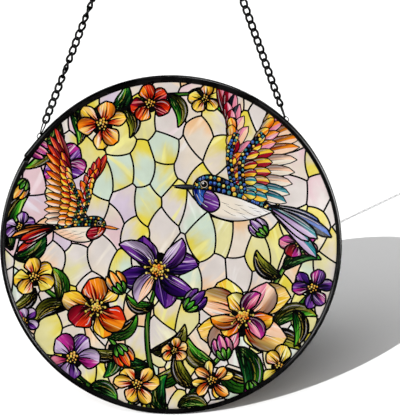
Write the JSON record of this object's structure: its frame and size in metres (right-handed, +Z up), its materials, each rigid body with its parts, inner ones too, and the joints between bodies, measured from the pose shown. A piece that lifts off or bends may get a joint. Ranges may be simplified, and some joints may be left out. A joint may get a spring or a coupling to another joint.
{
  "type": "round stained glass style suncatcher",
  "caption": "Round window ornament: a printed glass pane in a black metal rim, hung by twisted chain from a small ring.",
  "frame": {"origin": "top of the hole in the hanging ring, where a hook bears", "axes": "+Z up, the picture side of the pane faces -Y, the pane lies in the XZ plane"},
  "size_m": [0.1998, 0.01, 0.3665],
  "materials": {
    "rim_metal": "black baked paint, satin",
    "wire_metal": "black electro-coating on steel wire, satin",
    "opal_glass": "milky glass printed with a picture in streaky transparent colours and thin black lines, glossy"
  },
  "bodies": {
    "root": {"rim": "rim_metal", "glass_pane": "opal_glass", "rim_loop_left": "wire_metal", "rim_loop_right": "wire_metal", "jump_link_left": "wire_metal", "jump_link_right": "wire_metal", "chain_left": "wire_metal", "chain_right": "wire_metal", "hanging_ring": "wire_metal"}
  },
  "joints": []
}
